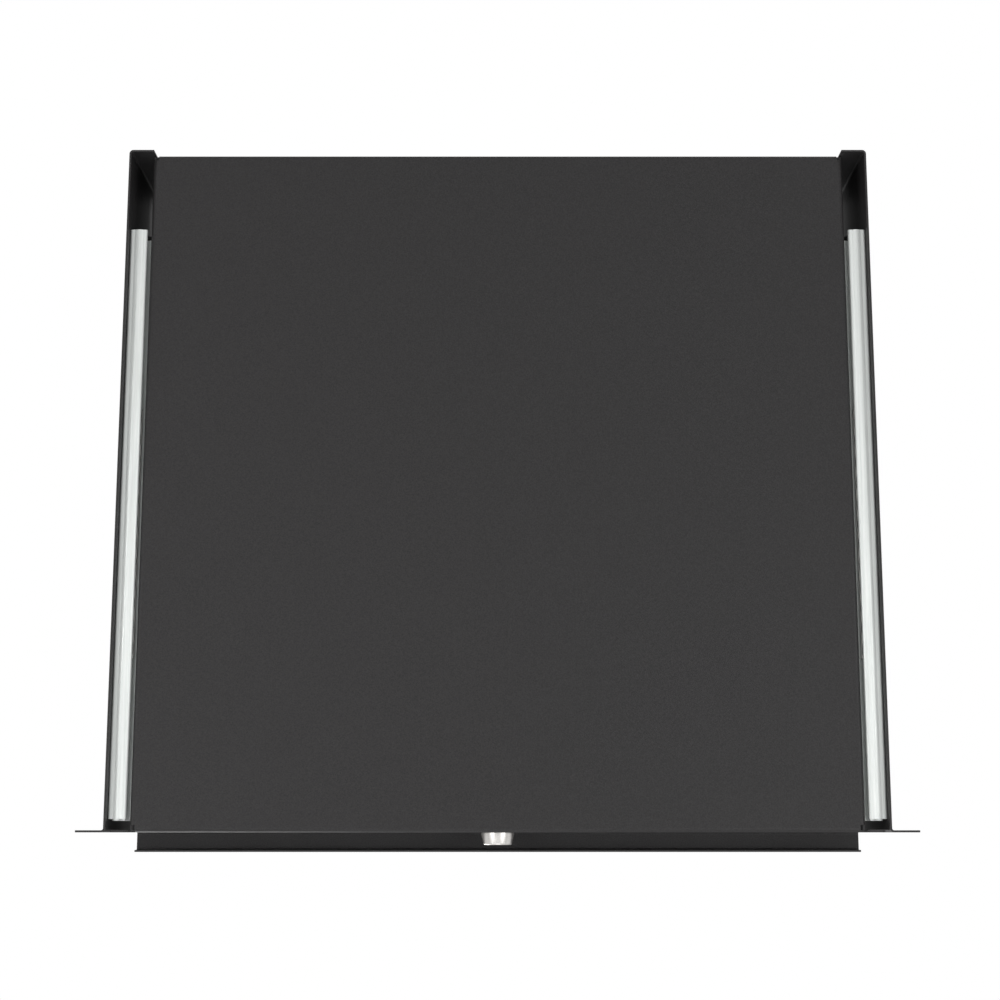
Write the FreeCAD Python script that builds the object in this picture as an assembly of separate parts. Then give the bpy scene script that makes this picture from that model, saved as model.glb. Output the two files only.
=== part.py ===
import FreeCAD, Part

import math
import os

# Sliding rack drawer, two rack units high, with a lock, on full-extension ball slides.
# Millimetres. The origin is the centre of the four ear slots, on the rear face of the ears,
# which rests on the rack posts. +X runs to the right seen from the front, +Y into the rack
# and +Z up. Every pair is modelled on the left, at -X, and mirrored.

# ---- Rack and brackets ----
UNIT_HEIGHT = 44.45        # height of one rack unit
UNITS = 2                  # rack units that the drawer takes up
HEIGHT_RELIEF = 0.8        # what the height falls short of its units
RACK_WIDTH = 482.6         # over both ears, the 19 inch panel width
EAR = 16.3                 # each ear, out from its bracket's outer face
BRACKET_SHEET = 1.2        # sheet of the brackets
BRACKET_DEPTH = 409.0      # ear rear face to the rear face of the back flange
BACK_FLANGE = 15.0         # width of the back flange, over its bend
BEND = 1.2                 # inside radius of every bend in painted sheet
EAR_CORNER = 2.0           # corner radius of the ears
SLOT_INSET = 8.75          # outer edge of an ear to its slot centres
SLOT_RISE = 76.2           # between slot centres, bottom to top
SLOT_LENGTH = 10.2         # ear slot, end to end
SLOT_WIDTH = 6.8           # ear slot, across

# ---- Drawer tray ----
TRAY_SHEET = 1.2           # sheet of the tray
PAN_RISE = 5.0             # bottom of the brackets to the underside of the tray
WALL_DROP = 11.1           # top of the brackets to the top of the tray walls
RETURN = 8.0               # inward return along the top of the side and back walls
BACK_GAP = 0.4             # tray back to the back flanges
PANEL_GAP = 1.6            # each end of the front panel to its bracket
LIP_DROP = 1.6             # top of the brackets to the top of the finger lip
LIP_REACH = 11.8           # finger lip, forward of the panel
LIP_FLANGE = 8.0           # down-turned edge of the lip
RELIEF = 0.8               # bend relief beside each end of a bend
WING_SLIT = 1.0            # slit between the front bend and each wing of the panel

# ---- Ball slides ----
RAIL_RISE = 5.0            # bottom of the brackets to the bottom of the slides
RAIL_HEIGHT = 45.0         # slide, over its outer rail
RAIL_ROOM = 49.0           # back end of the outer rails to the back of the brackets
RAIL_FRONT = 6.4           # ear rear face to the front end of the outer rails
RAIL_LEAD = 1.0            # what the moving rails stand ahead of the outer rail
RAIL_SHEET = 1.2           # sheet of all three rails
RAIL_CORNER = 0.7          # middle-line radius of the corners of a rail
WEB_GAP = 0.7              # web of the outer rail to the web of the middle rail
BALL_DIAMETER = 3.2        # ball diameter
BALL_PLAY = 0.15           # ball to race, at each side
RACE_ANGLE = 20.0          # slope of the sides of a race
RACE_FOOT = 2.0            # middle-line radius where a race meets its flat
RACE_STRAIGHT = 1.3        # straight between two arcs of a race
OUTER_RIM = 0.9            # flat of the outer rail beyond its race
OUTER_CURL = 1.3           # depth of the outer rail's turned-in edge
MIDDLE_TIP = 0.9           # middle rail beyond its inner race
INNER_SHOULDER = 0.9       # straight of the inner rail's flange beside its web
INNER_TIP = 0.3            # flat of the inner rail beyond its race
BUMPER_THICKNESS = 4.3     # thickness of the rubber stop at the back of a slide
BUMPER_HEIGHT = 20.0       # height of that stop
BUMPER_GAP = 0.3           # moving rails to the stop
BALLS_PER_ROW = 4          # balls in each row of a cage
BALL_SIDES = 8             # facets round a ball and its hole in the cage
CAGE_LENGTH = 150.0        # length of a ball cage
CAGE_END = 6.0             # cage end to its end ball, and to the end of the race
CAGE_SHEET = 0.6           # thickness of a cage strip
CAGE_PLAY = 0.1            # ball to the hole in its cage
CAGE_RIM = 0.6             # cage strip beside its balls
CAGE_TAIL = 1.4            # what the outer cage's strip adds towards the web
LANCE_WIDTH = 8.0          # stop tab lanced out of a rail's web, up and down
LANCE_DEPTH = 1.5          # what that tab stands out of the web
LANCE_INSET = 14.0         # rail end to the stop tab

# ---- Screws and release levers ----
SCREW_DIAMETER = 4.0       # thread diameter of the slide and bar screws
SCREW_HEAD = 7.2           # head diameter of the countersunk slide screws
SCREW_INSET = 37.0         # end of a rail to its end screw
SCREWS_PER_RAIL = 3
SMALL_SIDES = 8            # facets round a screw, a screw hole, a pin head and a lever's ends
SCREW_END = 1.0            # screw tip beyond the tray wall
PIN_DIAMETER = 3.0         # pivot of a release lever
PIN_HEAD = 5.0             # head of that pivot
PIN_HEAD_HEIGHT = 0.8
PIN_PLAY = 0.08            # lever hole to its pin, at each side
LEVER_SHEET = 1.8          # thickness of a release lever
LEVER_GAP = 0.3            # lever to the web behind it and the pin head before it
LEVER_LENGTH = 58.0        # pivot to the thumb pad
LEVER_HEIGHT = 6.0         # lever arm, up and down
LEVER_PAD = 5.0            # radius of the thumb pad
LEVER_EYE = 4.2            # radius of the eye round the pivot
LEVER_PLACE = 120.0        # ear rear face to the pivot

# ---- Strike bar across the top ----
BAR_SHEET = 1.2            # sheet of the strike bar
BAR_FRONT = 14.0           # ear rear face to the front flange of the bar
BAR_DEPTH = 32.0           # bar, front to back
BAR_GAP = 1.5              # tray walls to the lower edge of the bar's flanges
BAR_TAB = 24.0             # height of the end tabs
BAR_SCREW_PITCH = 16.0     # between the two screws of a tab
BAR_HEAD = 8.0             # pan head of a bar screw
BAR_HEAD_HEIGHT = 2.4

# ---- Cam lock ----
LOCK_DROP = 19.0           # top of the tray walls to the lock's axis
LOCK_BASE = 19.7           # lock head at the panel
LOCK_TIP = 15.0            # lock head at its front
LOCK_HEAD = 7.4            # length of the lock head
LOCK_EDGE = 1.0            # straight edge of the head at the panel
LOCK_CHAMFER = 0.6         # chamfer round the front of the head
BARREL_DIAMETER = 16.0     # barrel behind the head
BARREL_FLATS = 14.0        # across the two flats of the barrel
NUT_FLATS = 22.0           # lock nut across flats
NUT_THICKNESS = 4.0        # lock nut thickness
PLUG_DIAMETER = 12.0       # plug that the key turns
PLUG_PLAY = 0.08           # plug to barrel, at each side
PLUG_RECESS = 0.6          # front of the plug behind the front of the head
KEYWAY_WIDTH = 1.8
KEYWAY_HEIGHT = 7.5
KEYWAY_DEPTH = 5.0
CAM_GAP = 0.5              # strike bar flange to the cam
CAM_SHEET = 2.0            # cam thickness
CAM_WIDTH = 14.0           # cam across
CAM_SQUARE = 7.0           # square of the plug in the cam
CAM_TIP_GAP = 1.4          # raised cam to the web of the strike bar
CAM_SCREW_HEAD = 9.0
CAM_SCREW_HEIGHT = 2.6

# ---- Worked out from the sizes above ----
height = UNITS * UNIT_HEIGHT - HEIGHT_RELIEF
bottom = -height / 2
top = height / 2
frame_half = RACK_WIDTH / 2 - EAR
wall_inside = frame_half - BRACKET_SHEET
slot_across = RACK_WIDTH / 2 - SLOT_INSET
pan = bottom + PAN_RISE
wall_top = top - WALL_DROP
lip_top = top - LIP_DROP
bar_low = wall_top + BAR_GAP
bar_back = BAR_FRONT + BAR_DEPTH
panel_half = wall_inside - PANEL_GAP
tray_back = BRACKET_DEPTH - BRACKET_SHEET - BACK_GAP
lip_front = -TRAY_SHEET - LIP_REACH
rail_middle = bottom + RAIL_RISE + RAIL_HEIGHT / 2
rail_back = BRACKET_DEPTH - RAIL_ROOM
moving_front = RAIL_FRONT - RAIL_LEAD
moving_back = rail_back - BUMPER_THICKNESS - BUMPER_GAP
moving_length = moving_back - moving_front
travel = moving_length
lock_axis = wall_top - LOCK_DROP
cam_front = BAR_FRONT + BAR_SHEET + CAM_GAP
cam_reach = top - BAR_SHEET - CAM_TIP_GAP - lock_axis

# The slide's section is given as (across, up): across from the bracket's inner face towards
# the tray, up from the middle of the slide. A race is an arc of race_radius on the rail's
# middle line, between two slopes, and corner_lift is how far the slopes' crossing point lies
# beyond the arc.
slope = math.radians(RACE_ANGLE)
race_radius = BALL_DIAMETER / 2 + BALL_PLAY + RAIL_SHEET / 2
corner_lift = race_radius * (1 / math.cos(slope) - 1)
race_arm = race_radius * math.tan(slope) + RACE_STRAIGHT
foot_arm = RACE_FOOT * math.tan(slope / 2)
race_rise = (race_arm + foot_arm) * math.sin(slope) - corner_lift
race_half = (race_arm + foot_arm) * math.cos(slope)
corner_arm = RAIL_CORNER * math.tan(math.pi / 4 + slope / 2)
step_arm = race_radius * math.tan(slope / 2)
race_step = (race_arm + step_arm) * math.sin(slope) - corner_lift

middle_web = RAIL_SHEET + WEB_GAP + RAIL_SHEET / 2
outer_race = middle_web + (corner_arm + race_arm) * math.cos(slope)
inner_race = outer_race + (race_arm + step_arm) * math.cos(slope) + step_arm
inner_web = inner_race + (corner_arm + race_arm + INNER_SHOULDER) * math.cos(slope)
rail_thickness = inner_web + RAIL_SHEET / 2
outer_edge = outer_race + race_half + foot_arm + OUTER_RIM + RAIL_CORNER

outer_apex = RAIL_HEIGHT / 2 - RAIL_SHEET / 2
outer_flat = outer_apex - race_rise
outer_ball = outer_apex - race_radius
middle_apex = outer_ball - race_radius
middle_tip = middle_apex + race_step
inner_ball = middle_tip - race_radius
inner_apex = inner_ball - race_radius
inner_flat = inner_apex + race_rise

tray_half = wall_inside - rail_thickness
notch = BEND + TRAY_SHEET + RELIEF
cage_start = moving_front + travel / 4 + CAGE_END


def at(x, y, z):
    return FreeCAD.Vector(x, y, z)


def on_plane(plane, u, v, level):
    """A point (u, v) of a section, set into space at the given level of the third axis."""
    if plane == "XY":
        return at(u, v, level)
    if plane == "XZ":
        return at(u, level, v)
    return at(level, u, v)


def sweep_face(edges, plane, length):
    """The solid that a closed outline sweeps along the axis that its plane lacks."""
    direction = {"XY": at(0, 0, 1), "XZ": at(0, 1, 0), "YZ": at(1, 0, 0)}[plane]
    face = Part.Face(Part.Wire(edges))
    return face.extrude(direction * length)


def folded_sheet(points, thickness, plane, start, end):
    """Folded sheet: its middle line runs through points, and it stretches from start to end.

    The first and last points are (u, v), the others (u, v, r), where r is the middle-line
    radius of the fold at that point."""
    stations = [(points[0][0], points[0][1])]
    folds = []
    for before, here, after in zip(points, points[1:], points[2:]):
        into = math.atan2(here[1] - before[1], here[0] - before[0])
        out = math.atan2(after[1] - here[1], after[0] - here[0])
        turn = (out - into + math.pi) % (2 * math.pi) - math.pi
        reach = here[2] * math.tan(abs(turn) / 2)
        side = math.copysign(1.0, turn)
        first = (here[0] - reach * math.cos(into), here[1] - reach * math.sin(into))
        centre = (first[0] - side * here[2] * math.sin(into),
                  first[1] + side * here[2] * math.cos(into))
        folds.append((centre, side * here[2], into, into + turn))
        stations.append(here[:2])
    stations.append((points[-1][0], points[-1][1]))

    def end_corner(tip, other, offset):
        heading = math.atan2(other[1] - tip[1], other[0] - tip[0])
        return (tip[0] - offset * math.sin(heading), tip[1] + offset * math.cos(heading))

    def arc_point(fold, offset, heading):
        centre, radius = fold[0], fold[1] - offset
        return (centre[0] + radius * math.sin(heading), centre[1] - radius * math.cos(heading))

    def side_line(offset):
        """Corner points and arcs along one face of the sheet, from the first end to the last."""
        run = [end_corner(stations[0], stations[1], offset)]
        for fold in folds:
            run.append([arc_point(fold, offset, fold[2]),
                        arc_point(fold, offset, (fold[2] + fold[3]) / 2),
                        arc_point(fold, offset, fold[3])])
        run.append(end_corner(stations[-1], stations[-2], -offset))
        return run

    def backwards(run):
        return [item[::-1] if isinstance(item, list) else item for item in run[::-1]]

    outline = side_line(thickness / 2) + backwards(side_line(-thickness / 2))
    edges = []
    first = at_end = on_plane(plane, *outline[0], start)
    for item in outline[1:]:
        spots = item if isinstance(item, list) else [item]
        spots = [on_plane(plane, *spot, start) for spot in spots]
        edges.append(Part.makeLine(at_end, spots[0]))
        if len(spots) == 3:
            edges.append(Part.Arc(*spots).toShape())
        at_end = spots[-1]
    edges.append(Part.makeLine(at_end, first))
    return sweep_face(edges, plane, end - start)


def block(x0, x1, y0, y1, z0, z1):
    return Part.makeBox(x1 - x0, y1 - y0, z1 - z0, at(x0, y0, z0))


def rod(radius, start, end, x, z):
    """A round bar along Y."""
    return Part.makeCylinder(radius, end - start, at(x, start, z), at(0, 1, 0))


def facetted(sides, rings, place, axis):
    """Solid through regular polygons round an axis; rings are (corner radius, distance)."""
    side = at(axis.y, axis.z, axis.x)
    other = axis.cross(side)
    rows = []
    for radius, along in rings:
        row = []
        for step in range(sides):
            turn = 2 * math.pi * (step + 0.5) / sides
            spoke = side * math.cos(turn) + other * math.sin(turn)
            row.append(place + axis * along + spoke * radius)
        rows.append(row)
    outlines = [rows[0], rows[-1]]
    for near, far in zip(rows, rows[1:]):
        for step in range(sides):
            outlines.append([near[step - 1], near[step], far[step], far[step - 1]])
    faces = [Part.Face(Part.makePolygon(outline + outline[:1])) for outline in outlines]
    return Part.makeSolid(Part.makeShell(faces))


def small_rod(radius, x0, x1, y, z):
    """A small bar or hole along X, facetted."""
    return facetted(SMALL_SIDES, [(radius, x0), (radius, x1)], at(0, y, z), at(1, 0, 0))


def cross_rod(radius, x0, x1, y, z):
    """A round bar along X."""
    return Part.makeCylinder(radius, x1 - x0, at(x0, y, z), at(1, 0, 0))


def stadium(length, width, x, z, y0, y1):
    """A bar along Y whose section is a slot, long in X."""
    half = (length - width) / 2
    ends = [rod(width / 2, y0, y1, x + side * half, z) for side in (-1, 1)]
    middle = block(x - half, x + half, y0, y1, z - width / 2, z + width / 2)
    return middle.fuse(ends).removeSplitter()


def mirrored(shape):
    return shape.mirror(at(0, 0, 0), at(1, 0, 0))


def rail_x(across):
    """X of a point of the left slide's section."""
    return -wall_inside + across


def spread(first, last, count):
    """Evenly spaced places from first to last."""
    if count == 1:
        return [(first + last) / 2]
    return [first + (last - first) * step / (count - 1) for step in range(count)]


outer_screws = spread(RAIL_FRONT + SCREW_INSET, rail_back - SCREW_INSET, SCREWS_PER_RAIL)
inner_screws = spread(moving_front + SCREW_INSET, moving_back - SCREW_INSET, SCREWS_PER_RAIL)
bar_screws = spread(BAR_FRONT + BAR_DEPTH / 2 - BAR_SCREW_PITCH / 2,
                    BAR_FRONT + BAR_DEPTH / 2 + BAR_SCREW_PITCH / 2, 2)
bar_screw_height = top - BAR_TAB * 0.6


def left_bracket():
    """Ear turned outwards in front, side wall, and back flange turned inwards."""
    t = BRACKET_SHEET
    fold = BEND + t / 2
    wall = -frame_half + t / 2
    shape = folded_sheet(
        [(-RACK_WIDTH / 2, -t / 2), (wall, -t / 2, fold), (wall, BRACKET_DEPTH - t / 2, fold),
         (-frame_half + BACK_FLANGE, BRACKET_DEPTH - t / 2)], t, "XY", bottom, top)
    corners = [edge for edge in shape.Edges
               if edge.BoundBox.XMax < -RACK_WIDTH / 2 + 1e-6 and edge.BoundBox.YLength > t / 2]
    shape = shape.makeFillet(EAR_CORNER, corners)
    outside = -frame_half
    for rise in (-SLOT_RISE / 2, SLOT_RISE / 2):
        shape = shape.cut(
            stadium(SLOT_LENGTH, SLOT_WIDTH, -slot_across, rise, -2 * t, t))
    for place in outer_screws:
        shape = shape.cut(small_rod(SCREW_DIAMETER / 2, outside, outside + t, place, rail_middle))
    for place in bar_screws:
        shape = shape.cut(
            small_rod(SCREW_DIAMETER / 2, outside, outside + t, place, bar_screw_height))
    return shape


def strike_bar():
    """Inverted channel that ties the brackets together; its front flange holds the cam."""
    t = BAR_SHEET
    fold = BEND + t / 2
    web = top - t / 2
    clear = BEND + t + RELIEF
    channel = folded_sheet(
        [(BAR_FRONT + t / 2, bar_low), (BAR_FRONT + t / 2, web, fold),
         (bar_back - t / 2, web, fold), (bar_back - t / 2, bar_low)],
        t, "YZ", -wall_inside + clear, wall_inside - clear)
    tie = folded_sheet(
        [(-wall_inside + t / 2, top - BAR_TAB), (-wall_inside + t / 2, web, fold),
         (wall_inside - t / 2, web, fold), (wall_inside - t / 2, top - BAR_TAB)],
        t, "XZ", BAR_FRONT + clear, bar_back - clear)
    shape = channel.fuse(tie).removeSplitter()
    for place in bar_screws:
        shape = shape.cut(
            small_rod(SCREW_DIAMETER / 2, -wall_inside, wall_inside, place, bar_screw_height))
    return shape


def pan_head(diameter, seat, thickness):
    """Rings of a chamfered screw head, from its seat outwards."""
    return [(diameter / 2, seat), (diameter / 2, seat + thickness / 2),
            (diameter / 2 - thickness / 2, seat + thickness)]


def strike_bar_screws():
    """Pan-head screws from inside the tabs, their ends flush with the bracket's outside."""
    screws = []
    seat = -wall_inside + BAR_SHEET
    for place in bar_screws:
        shank = small_rod(SCREW_DIAMETER / 2, -frame_half, seat, place, bar_screw_height)
        head = facetted(SMALL_SIDES, pan_head(BAR_HEAD, seat, BAR_HEAD_HEIGHT),
                        at(0, place, bar_screw_height), at(1, 0, 0))
        screws.append(shank.fuse(head).removeSplitter())
    return Part.makeCompound(screws + [mirrored(screw) for screw in screws])


def rail_strip(points, front, back):
    """A rail of the left slide, symmetrical about the middle of the slide.

    points run from the tip of the upper flange to the web."""
    upper = [(rail_x(p[0]), rail_middle + p[1]) + p[2:] for p in points]
    lower = [(rail_x(p[0]), rail_middle - p[1]) + p[2:] for p in points[::-1]]
    return folded_sheet(upper + lower, RAIL_SHEET, "XZ", front, back)


def race_points(centre, apex, flat, side):
    """The three folds of a race on a flange that runs flat on both sides of it.

    side is 1 where the race bows outwards, and -1 where it dips towards the middle."""
    lift = apex + side * corner_lift
    return [(centre + race_half, flat, RACE_FOOT), (centre, lift, race_radius),
            (centre - race_half, flat, RACE_FOOT)]


def countersink(x_wide, x_narrow, place):
    """Cone of a countersunk head, wide at x_wide, on the middle line of the slide."""
    return facetted(SMALL_SIDES, [(SCREW_HEAD / 2, x_wide), (SCREW_DIAMETER / 2, x_narrow)],
                    at(0, place, rail_middle), at(1, 0, 0))


def stop_tab(across, stands, place):
    """Tab lanced out of a web as an end stop; stands is how far, and which way, it stands."""
    near, far = sorted((rail_x(across), rail_x(across + stands)))
    return block(near, far, place, place + RAIL_SHEET,
                 rail_middle - LANCE_WIDTH / 2, rail_middle + LANCE_WIDTH / 2)


def outer_rail():
    """C-shaped rail against the bracket, its races bowed outwards and its edges turned in."""
    points = ([(outer_edge, outer_flat - OUTER_CURL), (outer_edge, outer_flat, RAIL_CORNER)]
              + race_points(outer_race, outer_apex, outer_flat, 1)
              + [(RAIL_SHEET / 2, outer_flat, RAIL_CORNER)])
    shape = rail_strip(points, RAIL_FRONT, rail_back)
    for place in outer_screws:
        shape = shape.cut(countersink(rail_x(RAIL_SHEET), rail_x(0), place))
    return shape


def middle_rail():
    """Middle rail: outer balls run in its dips from outside, inner balls inside its edges."""
    rise = (outer_race - middle_web) * math.tan(slope)
    points = [(inner_race + MIDDLE_TIP, middle_tip),
              (inner_race - step_arm, middle_tip, race_radius),
              (outer_race, middle_apex - corner_lift, race_radius),
              (middle_web, middle_apex - corner_lift + rise, RAIL_CORNER)]
    shape = rail_strip(points, moving_front, moving_back)
    inside = middle_web + RAIL_SHEET / 2
    tabs = [stop_tab(inside, LANCE_DEPTH, moving_front + LANCE_INSET),
            stop_tab(inside, LANCE_DEPTH, moving_back - LANCE_INSET)]
    return shape.fuse(tabs).removeSplitter()


def inner_rail():
    """Rail on the tray; it is open towards the bracket and runs inside the middle rail."""
    rise = (inner_web - inner_race) * math.tan(slope)
    points = [(inner_race - race_half - foot_arm - INNER_TIP, inner_flat),
              (inner_race - race_half, inner_flat, RACE_FOOT),
              (inner_race, inner_apex - corner_lift, race_radius),
              (inner_web, inner_apex - corner_lift + rise, RAIL_CORNER)]
    shape = rail_strip(points, moving_front, moving_back)
    for place in inner_screws:
        shape = shape.cut(
            countersink(rail_x(inner_web - RAIL_SHEET / 2), rail_x(rail_thickness), place))
    return shape


def outer_rail_screws():
    """Countersunk screws, flush with the outer rail's web and with the bracket's outside."""
    screws = []
    for place in outer_screws:
        head = countersink(rail_x(RAIL_SHEET), rail_x(0), place)
        shank = small_rod(SCREW_DIAMETER / 2, -frame_half, -wall_inside, place, rail_middle)
        screws.append(head.fuse(shank).removeSplitter())
    return Part.makeCompound(screws + [mirrored(screw) for screw in screws])


def inner_rail_screws():
    """Countersunk screws from the rail's channel into the tray wall."""
    screws = []
    for place in inner_screws:
        head = countersink(rail_x(inner_web - RAIL_SHEET / 2), rail_x(rail_thickness), place)
        tip = -tray_half + TRAY_SHEET + SCREW_END
        shank = small_rod(SCREW_DIAMETER / 2, -tray_half, tip, place, rail_middle)
        screws.append(head.fuse(shank).removeSplitter())
    return Part.makeCompound(screws + [mirrored(screw) for screw in screws])


def rail_bumpers():
    """Rubber stops between the webs at the back, seated on the outer rails."""
    stop = block(rail_x(RAIL_SHEET), rail_x(inner_web), moving_back + BUMPER_GAP, rail_back,
                 rail_middle - BUMPER_HEIGHT / 2, rail_middle + BUMPER_HEIGHT / 2)
    upright = [edge for edge in stop.Edges
               if edge.BoundBox.YLength > BUMPER_THICKNESS / 2
               and edge.BoundBox.XMin > rail_x(inner_race)]
    stop = stop.makeFillet(BUMPER_THICKNESS, upright)
    return Part.makeCompound([stop, mirrored(stop)])


def ball_places():
    return spread(cage_start + CAGE_END, cage_start + CAGE_LENGTH - CAGE_END, BALLS_PER_ROW)


def cage(race, level, near, far):
    """Two strips, above and below, that space the balls of one stage of the left slide."""
    strips = []
    for side in (-1, 1):
        height_of_strip = rail_middle + side * level
        strip = block(rail_x(race - near), rail_x(race + far),
                      cage_start, cage_start + CAGE_LENGTH,
                      height_of_strip - CAGE_SHEET / 2, height_of_strip + CAGE_SHEET / 2)
        radius = BALL_DIAMETER / 2 + CAGE_PLAY
        holes = [facetted(BALL_SIDES, [(radius, -CAGE_SHEET), (radius, CAGE_SHEET)],
                          at(rail_x(race), place, height_of_strip), at(0, 0, 1))
                 for place in ball_places()]
        strips.append(strip.cut(holes))
    return Part.makeCompound(strips)


def outer_cage():
    rim = BALL_DIAMETER / 2 + CAGE_RIM
    return cage(outer_race, outer_ball, rim + CAGE_TAIL, rim)


def inner_cage():
    rim = BALL_DIAMETER / 2 + CAGE_RIM
    return cage(inner_race, inner_ball, rim, rim)


def balls(race, level):
    """The balls of one stage, in both slides, with all their corners on a sphere."""
    radius = BALL_DIAMETER / 2
    half_step = math.pi / BALL_SIDES
    rings = [(radius * math.cos(tilt), radius * math.sin(tilt))
             for tilt in (-3 * half_step, -half_step, half_step, 3 * half_step)]
    left = [facetted(BALL_SIDES, rings, at(rail_x(race), place, rail_middle + side * level),
                     at(0, 0, 1))
            for side in (-1, 1) for place in ball_places()]
    return Part.makeCompound(left + [mirrored(ball) for ball in left])


def release_lever():
    """Flat lever in the channel of the left inner rail: an arm, its eye and a thumb pad."""
    seat = rail_x(inner_web - RAIL_SHEET / 2 - LEVER_GAP - LEVER_SHEET)
    face = seat + LEVER_SHEET
    tip = LEVER_PLACE - LEVER_LENGTH
    arm = block(seat, face, tip, LEVER_PLACE,
                rail_middle - LEVER_HEIGHT / 2, rail_middle + LEVER_HEIGHT / 2)
    eye = small_rod(LEVER_EYE, seat, face, LEVER_PLACE, rail_middle)
    pad = small_rod(LEVER_PAD, seat, face, tip, rail_middle)
    hole = cross_rod(PIN_DIAMETER / 2 + PIN_PLAY, seat, face, LEVER_PLACE, rail_middle)
    return arm.fuse([eye, pad]).removeSplitter().cut(hole)


def release_lever_pins():
    """Headed pins that stand on the inner rails' webs and carry the levers."""
    web = rail_x(inner_web - RAIL_SHEET / 2)
    under_head = web - 2 * LEVER_GAP - LEVER_SHEET
    shank = cross_rod(PIN_DIAMETER / 2, under_head, web, LEVER_PLACE, rail_middle)
    head = small_rod(PIN_HEAD / 2, under_head - PIN_HEAD_HEIGHT, under_head,
                     LEVER_PLACE, rail_middle)
    pin = shank.fuse(head).removeSplitter()
    return Part.makeCompound([pin, mirrored(pin)])


def barrel_section(y0, y1, play):
    """Barrel of the lock with its two flats, or the hole for it."""
    round_bar = rod(BARREL_DIAMETER / 2 + play, y0, y1, 0, lock_axis)
    half = BARREL_FLATS / 2 + play
    flats = block(-BARREL_DIAMETER, BARREL_DIAMETER, y0, y1, lock_axis - half, lock_axis + half)
    return round_bar.common(flats)


def drawer_tray():
    """Folded tray: bottom, side and back walls with returns, front panel and finger lip."""
    t = TRAY_SHEET
    fold = BEND + t / 2
    floor = pan + t / 2
    rim = wall_top - t / 2
    side = tray_half - t / 2
    bend_half = tray_half - notch
    trough = folded_sheet(
        [(-tray_half + RETURN, rim), (-side, rim, fold), (-side, floor, fold),
         (side, floor, fold), (side, rim, fold), (tray_half - RETURN, rim)],
        t, "XZ", 0, tray_back)
    for y0, y1 in ((0, notch), (tray_back - notch, tray_back)):
        trough = trough.cut(block(-tray_half, tray_half, y0, y1, pan, pan + notch))
    back = folded_sheet(
        [(tray_back - notch, floor), (tray_back - t / 2, floor, fold),
         (tray_back - t / 2, rim, fold), (tray_back - RETURN, rim)],
        t, "YZ", -tray_half + t, tray_half - t)
    front = folded_sheet(
        [(notch, floor), (-t / 2, floor, fold), (-t / 2, lip_top - t / 2, fold),
         (lip_front + t / 2, lip_top - t / 2, fold), (lip_front + t / 2, lip_top - LIP_FLANGE)],
        t, "YZ", -panel_half, panel_half)
    for x0, x1 in ((-panel_half, -bend_half), (bend_half, panel_half)):
        back = back.cut(block(x0, x1, tray_back - notch, tray_back, pan, pan + notch))
        front = front.cut(block(x0, x1, -t, notch, pan, pan + notch))
    wing = tray_half + WING_SLIT
    wings = [block(x0, x1, -t, 0, pan, pan + notch)
             for x0, x1 in ((-panel_half, -wing), (wing, panel_half))]
    shape = trough.fuse([back, front] + wings).removeSplitter()
    shape = shape.cut(barrel_section(-t, 0, 0))
    for place in inner_screws:
        shape = shape.cut(small_rod(SCREW_DIAMETER / 2, -tray_half, tray_half, place, rail_middle))
    return shape


def turned(profile):
    """Solid turned about the lock's axis; profile points are (radius, y)."""
    points = [at(radius, y, lock_axis) for radius, y in profile + profile[:1]]
    face = Part.Face(Part.makePolygon(points))
    return face.revolve(at(0, 0, lock_axis), at(0, 1, 0), 360)


def lock_housing():
    """Tapered head in front of the panel, and the flatted barrel through it."""
    face = -TRAY_SHEET
    tip = face - LOCK_HEAD
    head = turned([(0, face), (LOCK_BASE / 2, face), (LOCK_BASE / 2, face - LOCK_EDGE),
                   (LOCK_TIP / 2, tip + LOCK_CHAMFER), (LOCK_TIP / 2 - LOCK_CHAMFER, tip),
                   (0, tip)])
    shape = head.fuse(barrel_section(face, cam_front, 0)).removeSplitter()
    return shape.cut(rod(PLUG_DIAMETER / 2 + PLUG_PLAY, tip, cam_front, 0, lock_axis))


def lock_nut():
    """Hexagon nut that clamps the lock to the back of the panel."""
    radius = NUT_FLATS / 2 / math.cos(math.pi / 6)
    corners = [at(radius * math.cos(math.pi / 3 * step), 0,
                  lock_axis + radius * math.sin(math.pi / 3 * step)) for step in range(7)]
    nut = Part.Face(Part.makePolygon(corners)).extrude(at(0, NUT_THICKNESS, 0))
    return nut.cut(rod(BARREL_DIAMETER / 2, 0, NUT_THICKNESS, 0, lock_axis))


def lock_plug():
    """Plug with its keyway in front and a square for the cam behind."""
    tip = -TRAY_SHEET - LOCK_HEAD + PLUG_RECESS
    body = rod(PLUG_DIAMETER / 2, tip, cam_front, 0, lock_axis)
    half = CAM_SQUARE / 2
    square = block(-half, half, cam_front, cam_front + CAM_SHEET,
                   lock_axis - half, lock_axis + half)
    keyway = block(-KEYWAY_WIDTH / 2, KEYWAY_WIDTH / 2, tip, tip + KEYWAY_DEPTH,
                   lock_axis - KEYWAY_HEIGHT / 2, lock_axis + KEYWAY_HEIGHT / 2)
    return body.fuse(square).removeSplitter().cut(keyway)


def lock_cam():
    """Cam that points to the left while unlocked, and up behind the bar when locked."""
    y0, y1 = cam_front, cam_front + CAM_SHEET
    half = CAM_WIDTH / 2
    hub = rod(half, y0, y1, 0, lock_axis)
    blade = block(-cam_reach, 0, y0, y1, lock_axis - half, lock_axis + half)
    corners = [edge for edge in blade.Edges
               if edge.BoundBox.XMax < -cam_reach + 1e-6 and edge.BoundBox.YLength > CAM_SHEET / 2]
    blade = blade.makeFillet(CAM_WIDTH / 4, corners)
    half = CAM_SQUARE / 2
    square = block(-half, half, y0, y1, lock_axis - half, lock_axis + half)
    return hub.fuse(blade).removeSplitter().cut(square)


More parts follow.
